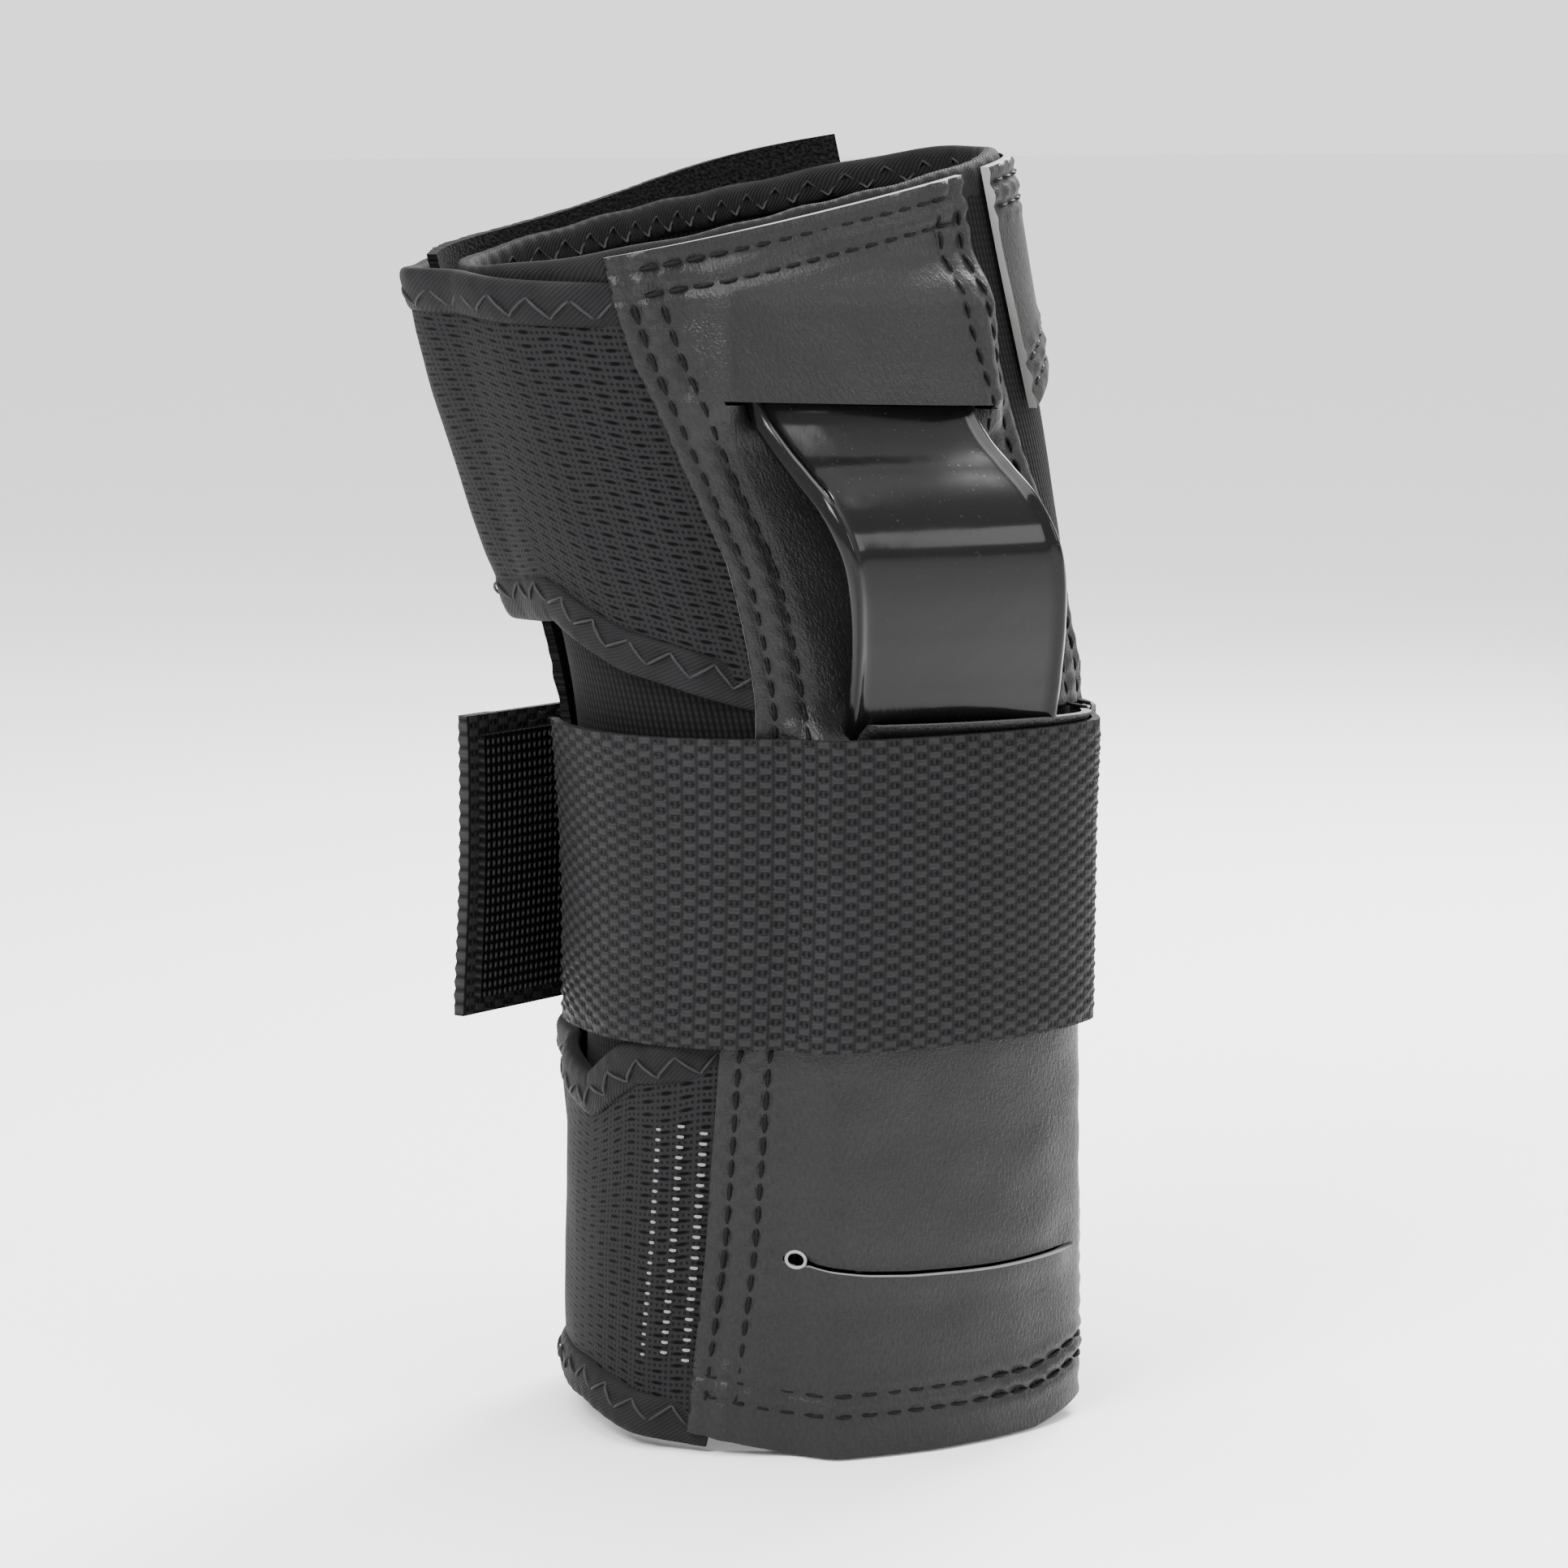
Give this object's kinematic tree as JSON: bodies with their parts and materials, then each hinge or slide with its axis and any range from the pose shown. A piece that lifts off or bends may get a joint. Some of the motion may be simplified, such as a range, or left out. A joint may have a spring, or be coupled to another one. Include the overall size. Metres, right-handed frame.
{
  "type": "wrist guard",
  "caption": "Right-hand wrist guard: padded sleeve with a leather palm, an arched plastic splint, hook-and-loop flaps over the back and a wide webbing wrist strap.",
  "frame": {"origin": "bottom centre of the bounding box, on the plane that the forearm end stands on", "axes": "+Z from the forearm to the fingers, +X to the thumb side, -Y to the palm, +Y to the back of the hand"},
  "size_m": [0.1176, 0.094, 0.2175],
  "materials": {
    "leather": "smooth grained synthetic leather, satin",
    "mesh": "knitted mesh over foam, matte",
    "binding": "twill tape, matte",
    "webbing": "coarse woven webbing, low sheen",
    "loop": "brushed loop pile, matte",
    "hook": "moulded hook tape",
    "lining": "brushed knit on foam, matte",
    "splint": "polished moulded plastic",
    "stay": "plain sheet plastic",
    "label": "woven label with an orange-red band"
  },
  "bodies": {
    "sleeve": {"padded_liner": "lining", "hand_rim_binding": "binding", "forearm_rim_binding": "binding", "thumb_hole_binding": "binding", "palm_leather": "leather", "splint_pocket_backing": "lining", "palm_splint": "splint", "thumb_strap_leather": "leather", "thumb_side_webbing": "webbing", "thumb_side_mesh": "mesh", "back_stay": "stay", "back_loop_panel": "loop", "upper_side_mesh": "mesh", "upper_side_high_binding": "binding", "upper_side_low_binding": "binding", "lower_side_mesh": "mesh", "lower_side_high_binding": "binding", "lower_side_low_binding": "binding", "sewn_wrist_strap": "webbing"},
    "upper_flap": {"upper_flap_mesh": "mesh", "upper_flap_binding": "binding", "upper_flap_hook": "hook"},
    "lower_flap": {"lower_flap_mesh": "mesh", "lower_flap_binding": "binding", "lower_flap_hook": "hook"},
    "strap_tab": {"wrist_strap_tab": "webbing", "strap_hook_tape": "hook", "strap_label": "label"}
  },
  "joints": [
    {"name": "upper_flap_fold", "type": "hinge", "parent": "sleeve", "child": "upper_flap", "pos_m": [-0.048, 0.0286, 0.1665], "axis": [-0.2369, 0.1027, 0.9661], "range_deg": [0, 120]},
    {"name": "lower_flap_fold", "type": "hinge", "parent": "sleeve", "child": "lower_flap", "pos_m": [-0.0215, 0.0383, 0.0355], "axis": [-0.0264, 0.048, 0.9985], "range_deg": [0, 120]},
    {"name": "strap_fold", "type": "hinge", "parent": "sleeve", "child": "strap_tab", "pos_m": [0.0552, 0.0166, 0.0945], "axis": [-0.0571, -0.0327, -0.9978], "range_deg": [0, 110]}
  ]
}
